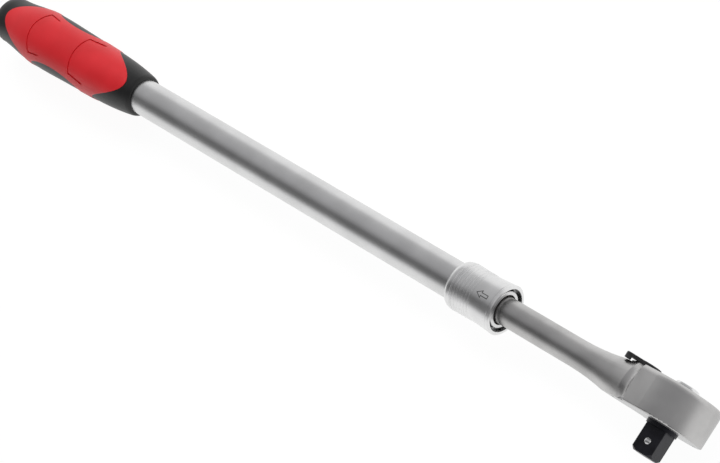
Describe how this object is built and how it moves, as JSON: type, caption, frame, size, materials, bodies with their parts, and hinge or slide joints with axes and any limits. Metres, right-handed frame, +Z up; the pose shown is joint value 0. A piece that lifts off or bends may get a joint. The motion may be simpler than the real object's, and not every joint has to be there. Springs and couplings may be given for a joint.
{
  "type": "telescopic ratchet handle",
  "caption": "Telescopic reversible ratchet handle with a pear-shaped head, square drive, quick-release button, reversing lever, sliding lock collar and two-colour grip.",
  "frame": {"origin": "centre of the square drive's end face, with the rod pushed home and locked", "axes": "+X along the handle's direction from the grip towards the head; -Y out of the square drive; +Z up as the tool lies on its side"},
  "size_m": [0.5655, 0.0459, 0.045],
  "materials": {
    "tube_chrome": "satin chrome plate",
    "collar_chrome": "satin chrome plate, turned",
    "head_chrome": "satin chrome plate",
    "plate_steel": "brushed",
    "inner_steel": "ground",
    "spring_steel": "drawn wire",
    "ball_steel": "polished",
    "button_steel": "polished",
    "black_steel": "black oxide, satin",
    "lever_black": "black, satin",
    "bearing_bronze": "plain bearing bronze",
    "grip_black": "moulded, satin",
    "grip_red": "moulded soft plastic, satin"
  },
  "bodies": {
    "handle": {"outer_tube": "tube_chrome", "front_bush": "bearing_bronze", "guide_pin": "inner_steel", "spring_seat_ring": "inner_steel", "grip_core": "grip_black", "grip_panel_left": "grip_red", "grip_panel_right": "grip_red"},
    "collar": {"lock_collar": "collar_chrome", "lock_cone_ring": "inner_steel", "collar_snap_ring": "spring_steel", "collar_spring": "spring_steel"},
    "lock_ball_1": {"lock_ball_1": "ball_steel"},
    "lock_ball_2": {"lock_ball_2": "ball_steel"},
    "lock_ball_3": {"lock_ball_3": "ball_steel"},
    "rod": {"ratchet_head": "head_chrome", "cover_plate": "plate_steel", "plate_screws": "inner_steel", "thrust_washer": "bearing_bronze", "rear_guide_ring": "bearing_bronze", "stop_washer": "inner_steel", "stop_screw": "inner_steel"},
    "drive": {"drive_gear": "black_steel", "button_ring": "spring_steel"},
    "drive_ball": {"drive_ball": "ball_steel"},
    "button": {"release_button": "button_steel", "release_pin": "inner_steel", "button_spring": "spring_steel"},
    "lever": {"reverse_lever": "lever_black", "lever_clip": "spring_steel", "pawl_plunger": "inner_steel", "plunger_spring": "spring_steel"},
    "pawl": {"pawl": "inner_steel"}
  },
  "joints": [
    {"name": "rod_extend", "type": "slide", "parent": "handle", "child": "rod", "axis": [1, 0, 0], "range_m": [0, 0.24]},
    {"name": "collar_slide", "type": "slide", "parent": "handle", "child": "collar", "axis": [-1, 0, 0], "range_m": [0, 0.005], "stiffness_N_per_m": 1000, "springref_m": -0.008, "deforming": ["collar_spring"]},
    {"name": "lock_ball_1_out", "type": "slide", "parent": "handle", "child": "lock_ball_1", "axis": [0, 0, 1], "range_m": [0, 0.000951]},
    {"name": "lock_ball_2_out", "type": "slide", "parent": "handle", "child": "lock_ball_2", "axis": [0, -0.866, -0.5], "range_m": [0, 0.000951]},
    {"name": "lock_ball_3_out", "type": "slide", "parent": "handle", "child": "lock_ball_3", "axis": [0, 0.866, -0.5], "range_m": [0, 0.000951]},
    {"name": "drive_spin", "type": "hinge", "parent": "rod", "child": "drive", "pos_m": [0, 0, 0], "axis": [0, -1, 0], "continuous": true},
    {"name": "button_press", "type": "slide", "parent": "drive", "child": "button", "axis": [0, -1, 0], "range_m": [0, 0.0025], "stiffness_N_per_m": 1500, "springref_m": -0.002, "deforming": ["button_spring"]},
    {"name": "drive_ball_in", "type": "slide", "parent": "drive", "child": "drive_ball", "axis": [0, 0, -1], "range_m": [0, 0.001]},
    {"name": "lever_turn", "type": "hinge", "parent": "rod", "child": "lever", "pos_m": [-0.0245, 0.0399, 0], "axis": [0, -1, 0], "range_deg": [0, 60]},
    {"name": "pawl_swing", "type": "hinge", "parent": "rod", "child": "pawl", "pos_m": [-0.0245, 0.0279, 0], "axis": [0, -1, 0], "range_deg": [0, 6]}
  ],
  "couplings": [
    {"joint": "lock_ball_1_out", "follows": "collar_slide", "ratio": 0.19},
    {"joint": "lock_ball_2_out", "follows": "collar_slide", "ratio": 0.19},
    {"joint": "lock_ball_3_out", "follows": "collar_slide", "ratio": 0.19},
    {"joint": "drive_ball_in", "follows": "button_press", "ratio": 0.4},
    {"joint": "pawl_swing", "follows": "lever_turn", "ratio": 0.1}
  ]
}
